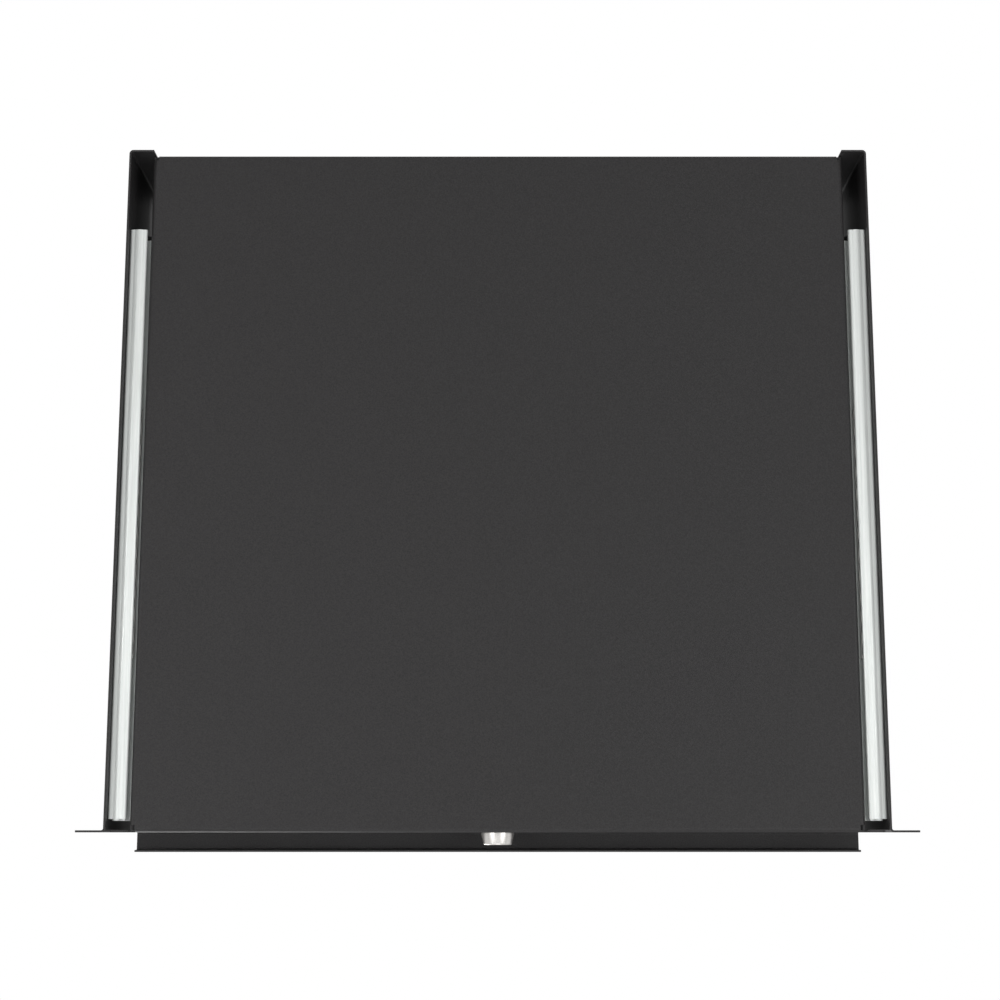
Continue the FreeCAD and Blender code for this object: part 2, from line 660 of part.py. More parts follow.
def lock_cam_screw():
    """Screw head that holds the cam on the plug."""
    head = pan_head(CAM_SCREW_HEAD, cam_front + CAM_SHEET, CAM_SCREW_HEIGHT)
    return facetted(SMALL_SIDES, head, at(0, 0, lock_axis), at(0, 1, 0))


def save(name, shape):
    if not shape.isValid():
        raise ValueError(name + " is not a valid shape")
    shape.exportStep("parts/" + name + ".step")
    print("%-22s %2d solid(s) %10.1f mm3" % (name, len(shape.Solids), shape.Volume))


def save_pair(name, left):
    save(name + "_left", left)
    save(name + "_right", mirrored(left))


os.makedirs("parts", exist_ok=True)
save_pair("bracket", left_bracket())
save("strike_bar", strike_bar())
save("strike_bar_screws", strike_bar_screws())
save_pair("outer_rail", outer_rail())
save("outer_rail_screws", outer_rail_screws())
save("rail_bumpers", rail_bumpers())
save_pair("outer_cage", outer_cage())
save("outer_balls", balls(outer_race, outer_ball))
save_pair("middle_rail", middle_rail())
save_pair("inner_cage", inner_cage())
save("inner_balls", balls(inner_race, inner_ball))
save_pair("inner_rail", inner_rail())
save("inner_rail_screws", inner_rail_screws())
save_pair("release_lever", release_lever())
save("release_lever_pins", release_lever_pins())
save("drawer_tray", drawer_tray())
save("lock_housing", lock_housing())
save("lock_nut", lock_nut())
save("lock_plug", lock_plug())
save("lock_cam", lock_cam())
save("lock_cam_screw", lock_cam_screw())
print("slide %.2f wide, flange %.2f, travel %.1f, tray half width %.2f"
      % (rail_thickness, outer_edge + RAIL_SHEET / 2, travel, tray_half))
print("lock axis %.2f, cam reach %.2f, tray back %.2f" % (lock_axis, cam_reach, tray_back))
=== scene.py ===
# %% [markdown]
# # A sliding rack drawer
#
# The object is a lockable drawer for a 19 inch rack, two units high. Two painted side
# brackets carry ball slides, and a folded painted tray runs out on them. Its shapes come from
# the CAD model as separate pieces, each on the body that it moves with. What is left for
# Blender is how they look: the powder coat, the bright zinc of the slides, the satin nickel
# of the lock, and small things such as screw recesses, balls and grips. The first cell loads
# the CAD pieces and measures them, because later places are worked out from those sizes.

# %% Load the pieces
import math

import bmesh
import bpy
from mathutils import Matrix, Vector


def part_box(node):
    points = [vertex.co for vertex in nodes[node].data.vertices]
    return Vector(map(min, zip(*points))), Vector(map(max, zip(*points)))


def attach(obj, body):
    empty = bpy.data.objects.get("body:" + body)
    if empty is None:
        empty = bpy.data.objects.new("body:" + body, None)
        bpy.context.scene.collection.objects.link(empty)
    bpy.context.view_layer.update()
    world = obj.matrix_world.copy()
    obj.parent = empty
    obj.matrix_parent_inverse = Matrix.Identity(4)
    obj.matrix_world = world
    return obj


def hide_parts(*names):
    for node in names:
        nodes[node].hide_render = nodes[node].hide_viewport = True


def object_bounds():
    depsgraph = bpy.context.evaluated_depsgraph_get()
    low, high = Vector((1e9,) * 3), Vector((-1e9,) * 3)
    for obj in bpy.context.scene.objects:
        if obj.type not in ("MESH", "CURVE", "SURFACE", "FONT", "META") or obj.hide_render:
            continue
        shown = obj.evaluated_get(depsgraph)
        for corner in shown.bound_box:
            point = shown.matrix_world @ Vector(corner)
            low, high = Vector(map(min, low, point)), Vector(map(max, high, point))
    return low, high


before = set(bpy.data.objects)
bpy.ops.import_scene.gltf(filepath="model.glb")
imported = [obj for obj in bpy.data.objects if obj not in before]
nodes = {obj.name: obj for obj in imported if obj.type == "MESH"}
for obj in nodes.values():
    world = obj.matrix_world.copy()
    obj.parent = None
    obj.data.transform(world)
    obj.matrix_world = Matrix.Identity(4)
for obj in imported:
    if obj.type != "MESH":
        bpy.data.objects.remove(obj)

cad_box = [list(corner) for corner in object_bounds()]
print("pieces", len(nodes), "box in mm", [[round(v * 1000, 1) for v in c] for c in cad_box])
print("triangles", sum(len(piece.data.polygons) for piece in nodes.values()))

# %% [markdown]
# ## The camera
#
# The drawer is seen from underneath, with its front edge at the bottom of the view and its
# right bracket at the left. A camera in Blender looks along its own -Z with +Y upwards, so
# the easiest way to aim it exactly is to write its three axes down as the columns of a
# matrix. A Track To constraint would aim it too, but leaves the roll to a setting. A lens
# near 65 mm on a 36 mm sensor, from about a metre away, shows a little perspective.

# %% Camera
CAMERA_TILT = math.radians(10.437)
CAMERA_PLACE = Vector((-0.00137, -0.0006, -1.0864))
SENSOR_WIDTH = 36.0
LENS = 64.756
FARTHEST_SEEN = 20.0

camera = bpy.data.objects.new("camera", bpy.data.cameras.new("camera"))
bpy.context.scene.collection.objects.link(camera)
camera.data.sensor_width = SENSOR_WIDTH
camera.data.lens = LENS
camera.data.clip_end = FARTHEST_SEEN
looks = Vector((0.0, math.sin(CAMERA_TILT), math.cos(CAMERA_TILT)))
upwards = Vector((0.0, math.cos(CAMERA_TILT), -math.sin(CAMERA_TILT)))
aim = Matrix((looks.cross(upwards), upwards, -looks)).transposed().to_4x4()
camera.matrix_world = Matrix.Translation(CAMERA_PLACE) @ aim
bpy.context.scene.camera = camera
bpy.context.scene.view_settings.view_transform = "Standard"
print("camera looks along", [round(v, 3) for v in looks])

# %% [markdown]
# ## Light that colours can be read in
#
# In a white studio light arrives softly from everywhere and a little more from a few large
# panels. The world gives the even part. Light Path tells it what kind of ray asks: the
# camera and glass see plain white, and surfaces get a softer value. The drawer is seen
# from below, so that side of the room is the bright one, and the ceiling is greyer: then
# the narrow slots beside the slides stay darker. What glossy surfaces mirror is bright
# round the horizon, a little dimmer below it and dark overhead, so that bends and rims catch
# fine lines. The direction of a ray in a world tree is the Generated coordinate, whose Z is
# -1 straight down and 1 straight up, and a colour ramp turns that height into a strength.

# %% World
AMBIENT_BELOW = 0.55
AMBIENT_ABOVE = 0.28
AMBIENT = ((-0.1, AMBIENT_BELOW), (0.6, AMBIENT_ABOVE))
MIRRORED = ((-1.0, 0.75), (-0.8, 0.65), (-0.45, 0.55), (-0.1, 0.8), (0.3, 0.8), (0.8, 0.25))


def add(tree, kind, place=(0, 0), **inputs):
    """A new node of a tree, with its sockets set by name."""
    node = tree.nodes.new(kind)
    node.location = place
    for name, value in inputs.items():
        node.inputs[name.replace("_", " ")].default_value = value
    return node


def set_stops(colours, stops):
    """Sets a colour ramp to (place, colour) stops; a colour may be one grey value."""
    elements = colours.color_ramp.elements
    while len(elements) < len(stops):
        elements.new(1.0)
    for element, (place, value) in zip(elements, stops):
        element.position = place
        element.color = (*value, 1) if isinstance(value, tuple) else (value, value, value, 1)


world = bpy.data.worlds.new("studio")
bpy.context.scene.world = world
world.use_nodes = True
sky = world.node_tree
sky.nodes.clear()
rays = add(sky, "ShaderNodeLightPath", (-800, 300))
direction = add(sky, "ShaderNodeTexCoord", (-1200, 0))
parts = add(sky, "ShaderNodeSeparateXYZ", (-1000, 0))
sky.links.new(direction.outputs["Generated"], parts.inputs[0])
height = add(sky, "ShaderNodeMapRange", (-800, 0), From_Min=-1.0, From_Max=1.0)
sky.links.new(parts.outputs["Z"], height.inputs["Value"])


def room(strengths, place):
    """Background light from (height, strength) pairs, height from -1 to 1."""
    level = add(sky, "ShaderNodeValToRGB", (-600, place))
    set_stops(level, [((z + 1) / 2, strength) for z, strength in strengths])
    light = add(sky, "ShaderNodeBackground", (-300, place), Strength=1.0)
    sky.links.new(height.outputs["Result"], level.inputs["Fac"])
    sky.links.new(level.outputs["Color"], light.inputs["Color"])
    return light


def choose(ray, otherwise, then, place):
    """The light that a kind of ray sees, and the light for all other rays."""
    mix = add(sky, "ShaderNodeMixShader", place)
    sky.links.new(rays.outputs[ray], mix.inputs["Fac"])
    sky.links.new(otherwise.outputs[0], mix.inputs[1])
    sky.links.new(then.outputs[0], mix.inputs[2])
    return mix


white = add(sky, "ShaderNodeBackground", (-300, 300), Color=(1, 1, 1, 1), Strength=1.0)
matt = room(AMBIENT, -200)
shiny = room(MIRRORED, -500)
light = choose("Is Glossy Ray", matt, shiny, (-100, 0))
light = choose("Is Transmission Ray", light, white, (100, 0))
light = choose("Is Camera Ray", light, white, (300, 0))
sky_out = add(sky, "ShaderNodeOutputWorld", (500, 0))
sky.links.new(light.outputs[0], sky_out.inputs["Surface"])
print("ambient light", AMBIENT_BELOW, "below and", AMBIENT_ABOVE, "above")

# %% [markdown]
# ## Lamps
#
# Each lamp is a square panel that aims at the middle of the drawer. Point lamps would cast
# hard shadows, and large panels give soft ones and broad highlights. Two stand above for
# the views from above, three below light the underside and draw the grooves of the slides,
# and one low down in front lights the front bend, the lip and the face of the lock.

# %% Lamps
MIDDLE_OF_DRAWER = Vector((0, 0.2, 0))


def panel_lamp(name, place, size, watts):
    """A square area lamp aimed at the middle of the drawer."""
    lamp = bpy.data.objects.new(name, bpy.data.lights.new(name, "AREA"))
    bpy.context.scene.collection.objects.link(lamp)
    lamp.data.size = size
    lamp.data.energy = watts
    lamp.location = place
    towards = MIDDLE_OF_DRAWER - lamp.location
    lamp.rotation_euler = towards.to_track_quat("-Z", "Y").to_euler()
    print(name, "at", place, "with", watts, "W")


panel_lamp("lamp_over_front", (1.2, -1.5, 1.8), 1.2, 26)
panel_lamp("lamp_over_back", (-1.6, 1.6, 1.5), 1.2, 16)
panel_lamp("lamp_under", (0.0, 0.0, -2.2), 1.8, 1.5)
panel_lamp("lamp_under_left", (-1.5, -0.1, -1.9), 1.0, 12.5)
panel_lamp("lamp_under_right", (1.5, -0.1, -1.9), 1.0, 12.5)
panel_lamp("lamp_low_front", (0.0, -1.9, -1.5), 1.4, 11)

# %% [markdown]
# ## The floor
#
# The drawer stands on a pale floor, but the main camera looks at it from below. So the
# floor is a one-sided thing: from above it is a matt white surface that keeps the shadow,
# and from below, and for every ray that isn't the camera's, it is transparent, so that the
# light under the drawer reaches it. Away from the drawer a round gradient lets it pass into
# the white of the room, without an edge.

# %% Floor
FLOOR_HALF = 2.5
FLOOR_COLOUR = (0.93, 0.93, 0.93, 1)
FLOOR_LIFT = 0.22        # glow added to the floor
FADE_START = 0.1         # the gradient is 0 at the rim and 1 in the middle: white below this
FADE_END = 0.7           # and all floor above this
WHITE = (1, 1, 1, 1)

floor_material = bpy.data.materials.new("pale_floor")
floor_material.use_nodes = True
ground = floor_material.node_tree
ground.nodes.clear()
ray = add(ground, "ShaderNodeLightPath", (-600, 300))
side = add(ground, "ShaderNodeNewGeometry", (-600, 100))
front_only = add(ground, "ShaderNodeMath", (-400, 200))
front_only.operation = "SUBTRACT"
front_only.use_clamp = True
pale = add(ground, "ShaderNodeBsdfDiffuse", (-400, 0), Color=FLOOR_COLOUR)
lift = add(ground, "ShaderNodeEmission", (-400, -150), Color=WHITE, Strength=FLOOR_LIFT)
lifted = add(ground, "ShaderNodeAddShader", (-200, -50))
far_white = add(ground, "ShaderNodeEmission", (-200, -200), Color=WHITE, Strength=1.0)
from_middle = add(ground, "ShaderNodeTexCoord", (-1200, -300))
shrink = add(ground, "ShaderNodeMapping", (-1000, -300), Scale=(1 / FLOOR_HALF,) * 3)
distance = add(ground, "ShaderNodeTexGradient", (-800, -300))
distance.gradient_type = "SPHERICAL"
fading = add(ground, "ShaderNodeMapRange", (-600, -300), From_Min=FADE_START, From_Max=FADE_END)
fade = add(ground, "ShaderNodeMixShader", (0, -100))
clear = add(ground, "ShaderNodeBsdfTransparent", (0, 100))
mixed = add(ground, "ShaderNodeMixShader", (200, 0))
ground_out = add(ground, "ShaderNodeOutputMaterial", (400, 0))
for output, socket in (
        (ray.outputs["Is Camera Ray"], front_only.inputs[0]),
        (side.outputs["Backfacing"], front_only.inputs[1]),
        (pale.outputs[0], lifted.inputs[0]), (lift.outputs[0], lifted.inputs[1]),
        (from_middle.outputs["Object"], shrink.inputs["Vector"]),
        (shrink.outputs["Vector"], distance.inputs["Vector"]),
        (distance.outputs["Fac"], fading.inputs["Value"]),
        (fading.outputs["Result"], fade.inputs["Fac"]),
        (far_white.outputs[0], fade.inputs[1]), (lifted.outputs[0], fade.inputs[2]),
        (front_only.outputs[0], mixed.inputs["Fac"]),
        (clear.outputs[0], mixed.inputs[1]), (fade.outputs[0], mixed.inputs[2]),
        (mixed.outputs[0], ground_out.inputs["Surface"])):
    ground.links.new(output, socket)

shape = bmesh.new()
bmesh.ops.create_grid(shape, x_segments=1, y_segments=1, size=FLOOR_HALF)
under_drawer = Vector((0, MIDDLE_OF_DRAWER.y, cad_box[0][2]))
bmesh.ops.translate(shape, verts=shape.verts, vec=under_drawer)
floor = bpy.data.objects.new("floor", bpy.data.meshes.new("floor"))
shape.to_mesh(floor.data)
shape.free()
bpy.context.scene.collection.objects.link(floor)
floor.data.materials.append(floor_material)
print("floor at", round(cad_box[0][2] * 1000, 2), "mm")

# %% [markdown]
# ## Materials in a few calls
#
# Every material below is a small tree of shader nodes, and the same groups of nodes come
# back in each: a noise, a ramp that turns it into a colour or a gloss, and a bump. A bitmap
# could show a grain as well, but noise on Object coordinates has a real size in metres and
# needs no unwrapping. Edges are found with the Bevel node: it gives a normal that is rounded
# near them, and where that turns away from the true normal, there is an edge.

# %% Helpers for materials
def new_material(name):
    """A material with an empty tree, its shader, and object coordinates."""
    material = bpy.data.materials.new(name)
    material.use_nodes = True
    tree = material.node_tree
    tree.nodes.clear()
    out = add(tree, "ShaderNodeOutputMaterial", (600, 0))
    shader = add(tree, "ShaderNodeBsdfPrincipled", (300, 0))
    tree.links.new(shader.outputs[0], out.inputs["Surface"])
    return material, tree, shader, add(tree, "ShaderNodeTexCoord", (-1100, 0))


def noise(tree, coordinates, scale, detail=2.0, stretch=(1, 1, 1)):
    """Noise on object coordinates; scale is in bumps per metre."""
    mapping = add(tree, "ShaderNodeMapping", (-900, 0), Scale=stretch)
    grain = add(tree, "ShaderNodeTexNoise", (-700, 0), Scale=scale, Detail=detail)
    tree.links.new(coordinates.outputs["Object"], mapping.inputs["Vector"])
    tree.links.new(mapping.outputs["Vector"], grain.inputs["Vector"])
    return grain


def ramp(tree, grain, low, high, start=0.3, end=0.7):
    """The noise as a colour or a grey that goes from low to high."""
    colours = add(tree, "ShaderNodeValToRGB", (-450, 0))
    set_stops(colours, [(start, low), (end, high)])
    tree.links.new(grain.outputs["Fac"], colours.inputs["Fac"])
    return colours.outputs["Color"]


def bump(tree, grain, shader, depth):
    """Bumps of the noise, depth in metres."""
    bumps = add(tree, "ShaderNodeBump", (0, -300), Strength=1.0, Distance=depth)
    tree.links.new(grain.outputs["Fac"], bumps.inputs["Height"])
    tree.links.new(bumps.outputs["Normal"], shader.inputs["Normal"])


def rubbed_edges(tree, width, broken_up):
    """1 along sharp edges and 0 on flats, made patchy by a noise."""
    flat = 0.985       # cosine between the rounded and the true normal on a flat
    turned = 0.86      # and on a sharp edge
    rounded = add(tree, "ShaderNodeBevel", (-900, -500), Radius=width)
    rounded.samples = 4
    true = add(tree, "ShaderNodeNewGeometry", (-900, -700))
    alike = add(tree, "ShaderNodeVectorMath", (-700, -600))
    alike.operation = "DOT_PRODUCT"
    tree.links.new(rounded.outputs["Normal"], alike.inputs[0])
    tree.links.new(true.outputs["True Normal"], alike.inputs[1])
    edge = add(tree, "ShaderNodeMapRange", (-500, -600), From_Min=flat, From_Max=turned)
    tree.links.new(alike.outputs["Value"], edge.inputs["Value"])
    patchy = add(tree, "ShaderNodeMath", (-300, -600))
    patchy.operation = "MULTIPLY"
    tree.links.new(edge.outputs["Result"], patchy.inputs[0])
    tree.links.new(ramp(tree, broken_up, 0.35, 1.0), patchy.inputs[1])
    return patchy.outputs[0]


def blended(tree, amount, first, second, socket):
    """Sends a colour or grey to a socket: first, and second where amount is 1."""
    mix = add(tree, "ShaderNodeMix", (-100, 0))
    mix.data_type = "RGBA"
    # The colour sockets of a Mix node are inputs 6 and 7 and output 2.
    tree.links.new(amount, mix.inputs[0])
    tree.links.new(first, mix.inputs[6])
    mix.inputs[7].default_value = (*second, 1)
    tree.links.new(mix.outputs[2], socket)


print("parts of a material: noise, ramp, bump, rubbed edges, blend")

# %% [markdown]
# ## Powder coat
#
# Satin black powder coat is baked plastic: dark, a little glossy, and covered with a fine
# orange peel whose bumps are about two thirds of a millimetre across. One noise makes the
# peel through a Bump node, the same noise gives the fine speckle of the colour, and a slow
# one makes the gloss uneven, as baking does. On sharp edges the coat draws thin and gets
# rubbed, so a lighter and glossier tone is mixed in there, in patches.

# %% Powder coat
PEEL_SCALE = 1500        # bumps per metre, as the next two
RUB_SCALE = 220
GLOSS_SCALE = 30
PEEL_DEPTH = 0.00003
RUBBED_WIDTH = 0.0005
COAT_GLOSS = (0.53, 0.57)
RUBBED_GLOSS = (0.42, 0.42, 0.42)
COAT_SPECULAR = 0.4
COAT_DARK = (0.0105, 0.0098, 0.0102)
COAT_LIGHT = (0.026, 0.0245, 0.0252)
COAT_RUBBED = (0.055, 0.053, 0.052)

coat, tree, shader, coordinates = new_material("satin_black_coat")
peel = noise(tree, coordinates, PEEL_SCALE)
edges = rubbed_edges(tree, RUBBED_WIDTH, noise(tree, coordinates, RUB_SCALE))
blended(tree, edges, ramp(tree, peel, COAT_DARK, COAT_LIGHT), COAT_RUBBED,
        shader.inputs["Base Color"])
blended(tree, edges, ramp(tree, noise(tree, coordinates, GLOSS_SCALE), *COAT_GLOSS),
        RUBBED_GLOSS, shader.inputs["Roughness"])
bump(tree, peel, shader, PEEL_DEPTH)
shader.inputs["Specular IOR Level"].default_value = COAT_SPECULAR
print("powder coat peel", round(1000 / PEEL_SCALE, 2), "mm")

# %% [markdown]
# ## Zinc, steel and nickel
#
# The slides are rolled from zinc-plated strip, so their fine lines run along them.
# Stretching a noise along the slide, by a small number in that direction, turns its spots
# into lines. The clear film on zinc scatters light, which a shader between metal and paint
# shows: Metallic under one half. The cages have shorter lines, and screws and balls, which
# are small, a plain grain. The lock is satin nickel, and its head was turned, so its lines
# run round it. The cast parts of the lock are duller.

# %% Metals
METAL_GLOSS_SCALE = 90


def metal(name, low, high, grain_scale, stretch, rough, depth, metallic=1.0):
    """Metal whose colour runs from low to high along a directed grain of some depth."""
    material, tree, shader, coordinates = new_material(name)
    shader.inputs["Metallic"].default_value = metallic
    grain = noise(tree, coordinates, grain_scale, 3.0, stretch)
    gloss = noise(tree, coordinates, METAL_GLOSS_SCALE)
    tree.links.new(ramp(tree, grain, low, high), shader.inputs["Base Color"])
    tree.links.new(ramp(tree, gloss, *rough), shader.inputs["Roughness"])
    bump(tree, grain, shader, depth)
    return material


zinc = metal("bright_zinc_strip", (0.73, 0.76, 0.74), (0.86, 0.89, 0.87), 900, (1, 0.02, 1),
             (0.42, 0.52), 0.000003, 0.4)
zinc_screw = metal("zinc_plated_screw", (0.56, 0.57, 0.56), (0.72, 0.72, 0.70), 1500, (1, 1, 1),
                   (0.28, 0.42), 0.000008)
cage_metal = metal("punched_cage_strip", (0.46, 0.46, 0.44), (0.58, 0.58, 0.56), 1200,
                   (1, 0.1, 1), (0.32, 0.46), 0.000006)
ball_metal = metal("polished_ball", (0.66, 0.66, 0.66), (0.74, 0.74, 0.74), 600, (1, 1, 1),
                   (0.08, 0.14), 0.000001)
nickel = metal("satin_nickel", (0.72, 0.70, 0.67), (0.84, 0.82, 0.79), 700, (1, 3, 1),
               (0.28, 0.38), 0.000004)
cast_zinc = metal("die_cast_zinc", (0.38, 0.38, 0.38), (0.52, 0.52, 0.51), 500, (1, 1, 1),
                  (0.34, 0.50), 0.00001)
for made in (zinc, zinc_screw, cage_metal, ball_metal, nickel, cast_zinc):
    print("metal", made.name)

# %% [markdown]
# ## The dark inside of a keyway
# Little light gets into a keyway, so its shade is painted into the plug's colour. The plug
# keeps the nickel of the lock, and a ramp along its length turns it nearly black where the
# keyway is, just behind the face: painted shade. The plug's own side lies that deep too, but
# the body of the lock hides it. A second material on the keyway's faces would need the mesh
# changed.

# %% Keyway
# Painted shade of the keyway: where along the plug it falls, and the nearly black colour it paints
PAINTED_SHADE_ALONG_PLUG = ((0.02, 0.0), (0.06, 1.0), (0.25, 1.0), (0.35, 0.0))   # 0 is its face
KEYWAY_PAINTED_SHADE = (0.012, 0.011, 0.010)

plug_nickel = nickel.copy()
plug_nickel.name = "nickel_with_painted_keyway_shade"
tree = plug_nickel.node_tree
shader = next(node for node in tree.nodes if node.type == "BSDF_PRINCIPLED")
coordinates = next(node for node in tree.nodes if node.type == "TEX_COORD")
bright = shader.inputs["Base Color"].links[0].from_socket
low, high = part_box("lock_plug")
axes = add(tree, "ShaderNodeSeparateXYZ", (-700, 300))
along = add(tree, "ShaderNodeMapRange", (-500, 300), From_Min=low.y, From_Max=high.y)
inside = add(tree, "ShaderNodeValToRGB", (-300, 300))
set_stops(inside, PAINTED_SHADE_ALONG_PLUG)
tree.links.new(coordinates.outputs["Object"], axes.inputs[0])
tree.links.new(axes.outputs["Y"], along.inputs["Value"])
tree.links.new(along.outputs["Result"], inside.inputs["Fac"])
# Blends the painted keyway shade, nearly black, into the nickel just behind the face
blended(tree, inside.outputs["Color"], bright, KEYWAY_PAINTED_SHADE, shader.inputs["Base Color"])
print(plug_nickel.name, "on a plug", round((high.y - low.y) * 1000, 1), "mm long")

# %% [markdown]
# ## Rubber and plastic
#
# The stops at the back of the slides are rubber, and the release levers are moulded from
# black plastic. Both are matt and even, so a fine grain in colour and bump is enough, and a
# slower noise varies their gloss a little. One helper makes both.

# %% Rubber and plastic
MOULDED_GLOSS_SCALE = 200


def moulded(name, low, high, rough, scale, depth):
    """Rubber or moulded plastic with a fine matt grain."""
    material, tree, shader, coordinates = new_material(name)
    grain = noise(tree, coordinates, scale)
    gloss = noise(tree, coordinates, MOULDED_GLOSS_SCALE)
    tree.links.new(ramp(tree, grain, low, high), shader.inputs["Base Color"])
    tree.links.new(ramp(tree, gloss, *rough), shader.inputs["Roughness"])
    bump(tree, grain, shader, depth)
    return material


rubber = moulded("moulded_rubber", (0.016, 0.016, 0.016), (0.028, 0.028, 0.027), (0.7, 0.85),
                 2500, 0.00003)
plastic = moulded("moulded_lever", (0.018, 0.018, 0.019), (0.030, 0.030, 0.031), (0.4, 0.5),
                  3000, 0.00001)
print("moulded", rubber.name, plastic.name)

# %% [markdown]
# ## Dressing the CAD pieces
#
# Every CAD piece gets the material of its slot. Sheet metal has no perfectly sharp edge:
# paint and plating round it by a few tenths of a millimetre, and that thin line catches
# the light. The CAD mesh is loose triangles, so a Weld modifier joins them first and a
# Decimate modifier turns each flat back into one face. Then a Bevel works on edges above an
# angle, with hardened normals to keep the flats flat.

# %% Finish each piece
FINISHES = {
    "black_powder_coat": coat, "zinc_rail": zinc, "zinc_screws": zinc_screw,
    "cage_steel": cage_metal, "ball_steel": ball_metal, "bumper_rubber": rubber,
    "lever_plastic": plastic, "lock_chrome": nickel, "lock_zinc": cast_zinc,
}
OWN_FINISH = {"lock_plug": plug_nickel}
SOFT_EDGE = {"black_powder_coat": 0.00025, "zinc_rail": 0.00015, "lock_chrome": 0.0002,
             "lock_zinc": 0.0003, "bumper_rubber": 0.0006}
SAME_POINT = 0.000002
FLAT_ANGLE = math.radians(0.5)
EDGE_ANGLE = math.radians(40)


def soften(piece, width):
    """Welds a piece's triangles together and rounds its edges by width."""
    weld = piece.modifiers.new("weld", "WELD")
    weld.merge_threshold = SAME_POINT
    flats = piece.modifiers.new("whole_flats", "DECIMATE")
    flats.decimate_type = "DISSOLVE"
    flats.angle_limit = FLAT_ANGLE
    edge = piece.modifiers.new("soft_edge", "BEVEL")
    edge.width = width
    edge.segments = 2
    edge.limit_method = "ANGLE"
    edge.angle_limit = EDGE_ANGLE
    edge.harden_normals = True
    edge.use_clamp_overlap = True


for name, piece in nodes.items():
    slot = piece.data.materials[0].name.split(".")[0]
    piece.data.materials.clear()
    piece.data.materials.append(OWN_FINISH.get(name, FINISHES[slot]))
    if slot in SOFT_EDGE:
        soften(piece, SOFT_EDGE[slot])
    print(name, "in", slot)

# %% [markdown]
# ## Building small parts with bmesh
#
# Screws, the lock body and the balls need more shape than the CAD model gives them. Each is
# made once with bmesh operators, lying along +Z at the origin, and then copied to its
# places. The places are read from the CAD pieces themselves: a node that holds six screws
# is split into its loose parts, and the middle of each part says where a screw sits.

# %% Helpers for new pieces
def centres(node):
    """The middle and the size of every loose solid of a CAD node, in order."""
    mesh = bmesh.new()
    mesh.from_mesh(nodes[node].data)
    bmesh.ops.remove_doubles(mesh, verts=mesh.verts, dist=SAME_POINT / 2)
    found = []
    left = set(mesh.verts)
    while left:
        island = []
        todo = [left.pop()]
        while todo:
            corner = todo.pop()
            island.append(corner.co.copy())
            for edge in corner.link_edges:
                other = edge.other_vert(corner)
                if other in left:
                    left.remove(other)
                    todo.append(other)
        low = Vector([min(p[i] for p in island) for i in range(3)])
        high = Vector([max(p[i] for p in island) for i in range(3)])
        found.append(((low + high) / 2, high - low))
    mesh.free()
    return sorted(found, key=lambda item: tuple(round(v, 5) for v in item[0]))


def piece_from(name, mesh, material, body, crease=35):
    """A finished object of a bmesh, on its body; crease is the sharp angle in degrees."""
    bmesh.ops.recalc_face_normals(mesh, faces=mesh.faces)
    data = bpy.data.meshes.new(name)
    mesh.to_mesh(data)
    mesh.free()
    data.shade_smooth()
    data.set_sharp_from_angle(angle=math.radians(crease))
    piece = bpy.data.objects.new(name, data)
    bpy.context.scene.collection.objects.link(piece)
    data.materials.append(material)
    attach(piece, body)
    print(name, "has", len(data.polygons), "faces")
    return piece


def copies(master, placements):
    """One bmesh that holds the master at every placement matrix."""
    data = bpy.data.meshes.new("master")
    master.to_mesh(data)
    master.free()
    group = bmesh.new()
    for placement in placements:
        before = len(group.verts)
        group.from_mesh(data)
        group.verts.ensure_lookup_table()
        bmesh.ops.transform(group, matrix=placement, verts=group.verts[before:])
    bpy.data.meshes.remove(data)
    return group


def pointing(place, axis):
    """The matrix that takes a part lying along +Z to a place, pointing along an axis."""
    return Matrix.Translation(place) @ Vector(axis).to_track_quat("Z", "Y").to_matrix().to_4x4()


cad_balls = centres("outer_balls")
print("outer balls in the CAD model", len(cad_balls), "of", round(cad_balls[0][1].z * 1000, 2), "mm")

# %% [markdown]
# ## Screws with a cross recess
#
# A cross recess could be cut with a Boolean, but that leaves long thin faces round it. The
# head here starts as a grid of seven by seven squares. Its corners are pulled in until the
# rim is a circle, and the squares that form a cross are extruded downwards and narrowed.
# Then the rim is extruded along the screw's profile, ring after ring, and the last ring is
# closed. A thread is two radii that take turns.

# %% Cross-recess screw
GRID_SQUARES = 7
CROSS_REACH = 3
RECESS_TAPER = 0.72
SCREW_RADIUS = 0.002
THREAD_DEPTH = 0.0003
THREAD_PITCH = 0.0007


def cross_screw(square, recess, profile):
    """A screw along +Z, its head's top at 0. profile is (radius, height) from the top down."""
    mesh = bmesh.new()
    radius = square * GRID_SQUARES / 2
    bmesh.ops.create_grid(mesh, x_segments=GRID_SQUARES, y_segments=GRID_SQUARES, size=radius)
    cross = []
    for face in mesh.faces:
        middle = face.calc_center_median() / square
        x, y = abs(round(middle.x)), abs(round(middle.y))
        if (x == 0 and y < CROSS_REACH) or (y == 0 and x < CROSS_REACH):
            cross.append(face)
    for corner in mesh.verts:
        corner.co *= max(abs(corner.co.x), abs(corner.co.y)) / corner.co.length
    ring = [edge for edge in mesh.edges if edge.is_boundary]
    sunk = bmesh.ops.extrude_face_region(mesh, geom=cross)
    bmesh.ops.delete(mesh, geom=cross, context="FACES_KEEP_BOUNDARY")
    low = [item for item in sunk["geom"] if isinstance(item, bmesh.types.BMVert)]
    bmesh.ops.translate(mesh, verts=low, vec=(0, 0, -recess))
    bmesh.ops.scale(mesh, verts=low, vec=(RECESS_TAPER, RECESS_TAPER, 1))
    for next_radius, height in profile:
        grown = bmesh.ops.extrude_edge_only(mesh, edges=ring)
        corners = [item for item in grown["geom"] if isinstance(item, bmesh.types.BMVert)]
        ring = [item for item in grown["geom"] if isinstance(item, bmesh.types.BMEdge)]
        for corner in corners:
            corner.co.x *= next_radius / radius
            corner.co.y *= next_radius / radius
            corner.co.z = height
        radius = next_radius
    bmesh.ops.contextual_create(mesh, geom=ring)
    return mesh


